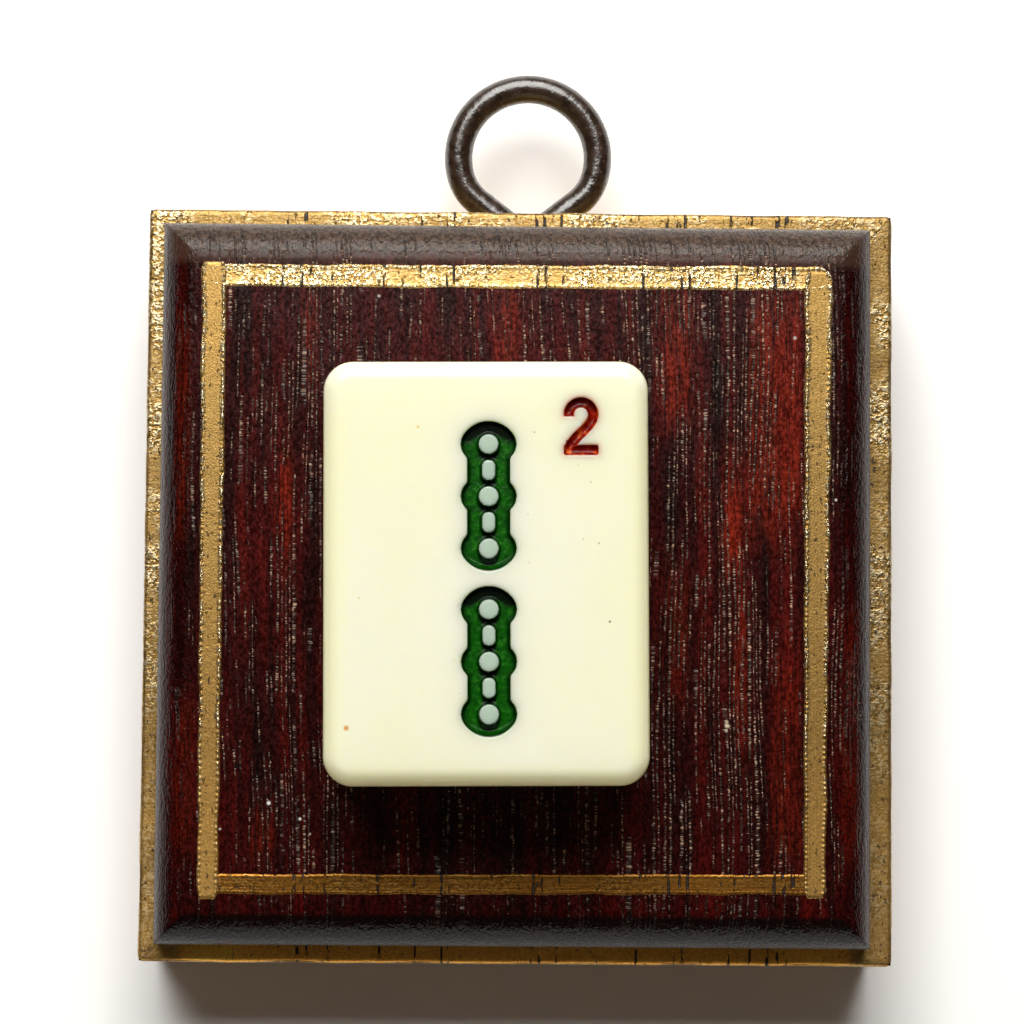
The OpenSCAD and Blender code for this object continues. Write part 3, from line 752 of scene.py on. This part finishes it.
def brush_stripe(number, way, outer0, outer1, inner0, inner1, start, end):
    """Points of one stripe and the beads of paint along its edges; wave_noise takes a wavelength and a seed."""
    level = way == "x"
    t = np.linspace(0, 1, STRIPE_ROWS)[:, None]
    spread = 2 * np.linspace(0, 1, STRIPE_COLUMNS)[None, :] - 1
    aside = np.abs(spread)
    run = start + (end - start) * t
    side = np.sign(outer0)
    outer_waves = 0.07 * wave_noise(run, 7.0, 20 + number) + 0.025 * wave_noise(run, 0.8, 30 + number)
    inner_waves = 0.05 * wave_noise(run, 9.0, 40 + number) + 0.02 * wave_noise(run, 0.7, 50 + number)
    outer = outer0 + (outer1 - outer0) * t + side * outer_waves
    inner = inner0 + (inner1 - inner0) * t + side * inner_waves
    reach = np.abs(end - start) * np.minimum(t, 1 - t)
    tuck = (0.55 if level else 0.24) * np.clip(1 - reach / 0.8, 0, 1) ** 2.2
    across = (outer + inner) / 2 + spread * np.maximum(np.abs(outer - inner) / 2 - tuck, 0.12)
    bead = (0.25 if level and side < 0 else 1.0) * np.exp(-((aside - 0.82) / 0.13) ** 2)
    pearls = 0.5 + 0.9 * wave_noise(run + 3 * np.sign(spread), 0.42, 90 + number, 1)
    streaks = 0.14 * wave_noise(across * 5 + 3 * number, 1.0, 60 + number) + 0.04 * wave_noise(run, 3.3, 70 + number)
    slope = np.clip((1 - aside) / 0.1, 0, 1) ** 0.5
    ends = np.clip(reach / 0.25, 0, 1) ** 0.5
    lift = BORDER_RISE * slope * ends * (0.55 + 0.7 * bead * (0.3 + 0.7 * np.clip(pearls, 0, 1)) + streaks)
    lift = lift + (0.0 if level else UPRIGHT_LAP) * slope * ends
    right, up = (run, across) if level else (across, run)
    grid = np.stack(np.broadcast_arrays(BOARD_X + right, FACE_Y - lift, BOARD_Z + up), -1)
    edge = np.clip(bead * (1.0 + 0.8 * wave_noise(run, 5.0, 80 + number)), 0, 1)
    return grid.reshape(-1, 3), np.broadcast_to(edge, grid.shape[:2]).ravel()


def make_border(level_material, upright_material):
    """The four brushed stripes; the upright ones lap over the level ones."""
    for way, name, material in (("x", "gold_border_level", level_material),
                                ("z", "gold_border_upright", upright_material)):
        stripes = [brush_stripe(number, *stripe) for number, stripe in enumerate(STRIPES) if stripe[0] == way]
        size = STRIPE_ROWS * STRIPE_COLUMNS
        faces = [face for k in range(len(stripes)) for face in grid_faces(STRIPE_ROWS, STRIPE_COLUMNS, k * size)]
        points, edges = (np.concatenate(values) for values in zip(*stripes))
        border = add_mesh(name, points, faces, material, ("gold_border",))
        add_values(border, "edge", edges)


def make_rim(material):
    """The gilt coat on the ledge and the slab's sides, with a brushed, slightly uneven surface."""
    width, height = RIM_HIGH[0] - RIM_LOW[0], RIM_HIGH[2] - RIM_LOW[2]
    edge_r, ledge = 0.35, 2.4
    depth = BOARD_BACK - LEDGE_Y
    profile = [(ledge, 0.0)] + [(ledge - (ledge - edge_r) * k / 9, 0.0) for k in range(1, 10)]
    profile += [(edge_r * (1 - math.sin(a)), edge_r * (1 - math.cos(a)))
                for a in np.radians(np.linspace(0, 90, 7))[1:]]
    profile += [(0.0, edge_r + (depth - edge_r) * k / 30) for k in range(1, 31)]
    points, count = [], None
    for row, (inset, back) in enumerate(profile):
        path, normals = rounded_path(width - 2 * inset, height - 2 * inset, max(0.5 - inset, 0.05), 8, 220)
        count = len(path)
        run = np.arange(count) * (width * 4 / count)
        rough = 0.03 * wave_noise(run, 9.0, 90) + 0.006 * wave_noise(run + 0.4 * row, 1.9, 91)
        out = rough if inset < edge_r else rough * 0.2
        out = np.minimum(out, 0.05)
        front = rough * (0.8 if back < edge_r else 0.0)
        grid = np.stack([BOARD_X + path[:, 0] + normals[:, 0] * out,
                         np.full(count, LEDGE_Y + back) - front,
                         BOARD_Z + path[:, 1] + normals[:, 1] * out], -1)
        points.append(grid)
    faces = grid_faces(len(profile), count, closed=True)
    add_mesh("gilt_rim_coat", np.concatenate(points), faces, material, ("gilt_rim",))


# ---- screw eye

# The ring stands where the source has it, with its wire of radius CAD_WIRE_R.
CAD_WIRE_R, SHANK_L, END_GAP, NECK_R, BEND_STEP = 1.035, 7.2, 1.25, 0.15, 0.25


def arc(centre, radius, start, end, steps):
    return [(centre[0] + radius * math.cos(a), centre[1] + radius * math.sin(a))
            for a in np.radians(np.linspace(start, end, steps))]


def make_eye(material):
    """One wire swept along the shank, the right leg, the ring and the free left leg."""
    ring_r, wire_r, shoulder_r, draw, lean = 5.5, 1.11, 3.8, 0.3, 52.0
    ring_z = CAD_WIRE_R - ring_r
    reach = ring_r - draw
    apex = reach / math.sin(math.radians(lean))
    offset = ring_r - shoulder_r
    turn = math.degrees(math.acos((reach - shoulder_r) / offset))
    start = turn - lean
    shoulder = (offset * math.cos(math.radians(start)), offset * math.sin(math.radians(start)))
    neck_r = wire_r + NECK_R
    neck = neck_r * math.tan(math.radians(lean / 2))
    line = [(0, -apex - neck - SHANK_L + SHANK_L * t) for t in np.linspace(0, 1, 10)[:-1]]
    line += arc((neck_r, -apex - neck), neck_r, 180, 180 - lean, 10)
    line += arc(shoulder, shoulder_r, start - turn, start, 14)
    line += arc((0, 0), ring_r, start, 180 - start, 120)[1:]
    line += arc((-shoulder[0], shoulder[1]), shoulder_r, 180 - start, 180 - start + turn, 14)[1:]
    along = math.radians(lean)
    last = line[-1]
    length = math.hypot(last[0], last[1] + apex) - END_GAP
    line.append((last[0] + length * math.sin(along), last[1] - length * math.cos(along)))
    dense = []
    for a, b in zip(line[:-1], line[1:]):
        n = max(1, int(math.hypot(b[0] - a[0], b[1] - a[1]) / BEND_STEP))
        dense += [(a[0] + (b[0] - a[0]) * k / n, a[1] + (b[1] - a[1]) * k / n) for k in range(n)]
    dense.append(line[-1])
    path = np.array(dense)
    tangent = np.gradient(path, axis=0)
    tangent /= np.linalg.norm(tangent, axis=1)[:, None]
    side = np.stack([-tangent[:, 1], tangent[:, 0]], -1)
    run = np.concatenate([[0], np.cumsum(np.linalg.norm(np.diff(path, axis=0), axis=1))])
    sides = 28
    a = np.linspace(0, 2 * np.pi, sides, endpoint=False)
    rings = []
    for p, n, s in zip(path, side, run):
        r = wire_r * (1 + 0.006 * wave_noise(np.array(s), 5.0, 100) + 0.004 * np.sin(3 * a + s))
        rings.append(np.stack([p[0] + n[0] * r * np.cos(a), -r * np.sin(a),
                               ring_z + p[1] + n[1] * r * np.cos(a)], -1))
    points = np.concatenate(rings)
    faces = grid_faces(len(rings), sides, closed=True)
    faces += [list(range(sides))[::-1], [len(points) - sides + k for k in range(sides)]]
    add_mesh("screw_eye_wire", points, faces, material, ("screw_eye",))


# ---- stage

WALL_GAP, WALL_REACH, FLOOR_DROP, FLOOR_HALF_W, FLOOR_FRONT, FLOOR_REAR = 0.3, 900.0, 300.0, 300, -120, 200
# What the stage throws back at the part, and what is seen of it; the dim light around, from below and above.
BOUNCE, SEEN = (0.43, 0.335, 0.255), (1.1, 1.1, 1.1)
AROUND, AROUND_LOW, AROUND_HIGH = (1.0, 0.84, 0.68, 1), 0.052, 0.28
KEY_REACH, KEY_RISE, KEY_SWING, KEY_POWER = 620.0, math.radians(41), math.radians(-4), 5.95
BEHIND_AT, BEHIND_AIM, BEHIND_POWER, BEHIND_SPREAD = (120, 700, 330), (0, 0, -38), 1.7, math.radians(60)
CAMERA_AT, CAMERA_FOCUS = (-4.264, -242.19, -48.883), 3094.03
CAMERA_YAW, CAMERA_PITCH, CAMERA_ROLL = 0.0133, 0.0675, 0.0081


def make_camera():
    """The camera that was fitted to the photograph's straight outlines."""
    data = bpy.data.cameras.new("camera")
    data.sensor_width, data.lens = 36.0, 36.0 * CAMERA_FOCUS / 1024
    data.clip_start, data.clip_end = 0.01, 20
    camera = bpy.data.objects.new("camera", data)
    sy, cy, sp, cp = math.sin(CAMERA_YAW), math.cos(CAMERA_YAW), math.sin(CAMERA_PITCH), math.cos(CAMERA_PITCH)
    ahead = Vector((sy * cp, cy * cp, sp))
    right = Vector((cy, -sy, 0))
    up = right.cross(ahead)
    sr, cr = math.sin(CAMERA_ROLL), math.cos(CAMERA_ROLL)
    across, above = cr * right + sr * up, cr * up - sr * right
    turn = Matrix((across, above, -ahead)).transposed().to_4x4()
    camera.matrix_world = Matrix.Translation(Vector(CAMERA_AT) * MM) @ turn
    bpy.context.scene.collection.objects.link(camera)
    bpy.context.scene.camera = camera


def stage_material(name, see_through_behind):
    """Pale matt stage; seen by the camera, by gloss and through glass it is nearly white."""
    tree = Tree(name)
    rays = tree.node("LightPath").outputs
    seen = tree.most(rays["Is Camera Ray"], rays["Is Glossy Ray"], rays["Is Transmission Ray"])
    seen = tree.mul(seen, tree.math("LESS_THAN", rays["Diffuse Depth"], 0.5))
    tree.nodes.remove(tree.shader)
    surface = tree.node("BsdfDiffuse", {"Color": tree.mix(seen, BOUNCE, SEEN)}).outputs[0]
    if see_through_behind:
        behind = tree.node("NewGeometry").outputs["Backfacing"]
        share = tree.most(behind, rays["Is Shadow Ray"])
        clear = tree.node("BsdfTransparent").outputs[0]
        surface = tree.node("MixShader", {0: share, 1: surface, 2: clear}).outputs[0]
    tree.feed(tree.nodes["Material Output"].inputs["Surface"], surface)
    return tree.material


def add_plane(name, corners, material):
    mesh = bpy.data.meshes.new(name)
    mesh.from_pydata([tuple(c * MM for c in corner) for corner in corners], [], [(0, 1, 2, 3)])
    mesh.materials.append(material)
    plane = bpy.data.objects.new(name, mesh)
    bpy.context.scene.collection.objects.link(plane)


def add_lamp(name, at, towards, width, height, power, colour=(1, 1, 1)):
    data = bpy.data.lights.new(name, "AREA")
    data.shape, data.size, data.size_y = "RECTANGLE", width * MM, height * MM
    data.energy, data.color = power, colour
    lamp = bpy.data.objects.new(name, data)
    lamp.location = Vector(at) * MM
    lamp.rotation_euler = (Vector(towards) - Vector(at)).to_track_quat("-Z", "Y").to_euler()
    bpy.context.scene.collection.objects.link(lamp)
    return lamp


def make_world():
    """Dim warm light, stronger from above; white where the camera sees it."""
    world = bpy.data.worlds.new("world")
    world.use_nodes = True
    bpy.context.scene.world = world
    nodes, link = world.node_tree.nodes, world.node_tree.links.new
    rays, aim, split, ceiling, white, both = (nodes.new("ShaderNode" + kind) for kind in (
        "LightPath", "TexCoord", "SeparateXYZ", "MapRange", "Background", "MixShader"))
    dim = nodes["Background"]
    dim.inputs["Color"].default_value = AROUND
    white.inputs["Color"].default_value = (1, 1, 1, 1)
    for name, value in (("From Min", 0.45), ("From Max", 0.95), ("To Min", AROUND_LOW), ("To Max", AROUND_HIGH)):
        ceiling.inputs[name].default_value = value
    link(aim.outputs["Generated"], split.inputs[0])
    link(split.outputs["Z"], ceiling.inputs["Value"])
    link(ceiling.outputs["Result"], dim.inputs["Strength"])
    for slot, output in enumerate((rays.outputs["Is Camera Ray"], dim.outputs[0], white.outputs[0])):
        link(output, both.inputs[slot])
    link(both.outputs[0], nodes["World Output"].inputs["Surface"])


def make_stage():
    """Wall, floor, a soft key light from above, and a lamp behind for views of the back."""
    wall_y, floor_z, far = BOARD_BACK + WALL_GAP, RIM_LOW[2] - FLOOR_DROP, WALL_REACH
    add_plane("backdrop", [(-far, wall_y, floor_z), (far, wall_y, floor_z), (far, wall_y, far), (-far, wall_y, far)],
              stage_material("backdrop", True))
    add_plane("floor", [(x, y, floor_z) for x, y in ((-FLOOR_HALF_W, FLOOR_FRONT), (FLOOR_HALF_W, FLOOR_FRONT),
                                                     (FLOOR_HALF_W, FLOOR_REAR), (-FLOOR_HALF_W, FLOOR_REAR))],
              stage_material("floor", False))
    middle = (BOARD_X, FACE_Y, BOARD_Z)
    level = KEY_REACH * math.cos(KEY_RISE)
    key = (middle[0] + level * math.sin(KEY_SWING), middle[1] - level * math.cos(KEY_SWING),
           middle[2] + KEY_REACH * math.sin(KEY_RISE))
    add_lamp("key", key, middle, 420, 500, KEY_POWER, (1.0, 0.99, 0.96))
    behind = add_lamp("behind", BEHIND_AT, BEHIND_AIM, 300, 300, BEHIND_POWER)
    behind.data.spread = BEHIND_SPREAD
    make_world()
    bpy.context.scene.view_settings.view_transform = "Standard"


# ---- build

def dress(node, material):
    """Gives a CAD node a better material."""
    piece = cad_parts[node]
    piece.data.materials.clear()
    piece.data.materials.append(material)


make_camera()
make_stage()
make_board(wood_material())
dress("glue_pad", glue_material())
make_rim(gold_material("gold_rim_paint", "x", 3.2, 0.55, 0.56, 0.89, (0.92, 0.89, 0.85), 1.0, (2.7, 2.25, 1.35)))
make_border(gold_material("gold_level_paint", "x", 4.6, 0.5, 0.9, 1.33, (0.37, 0.25, 0.1), 1.06),
            gold_material("gold_upright_paint", "z", 3.2, 1.0, 0.0, 0.92, (0.88, 0.82, 0.74), 1.22))
make_eye(wire_material())
make_tile(ivory_material())
make_paint(green_material(), red_material())
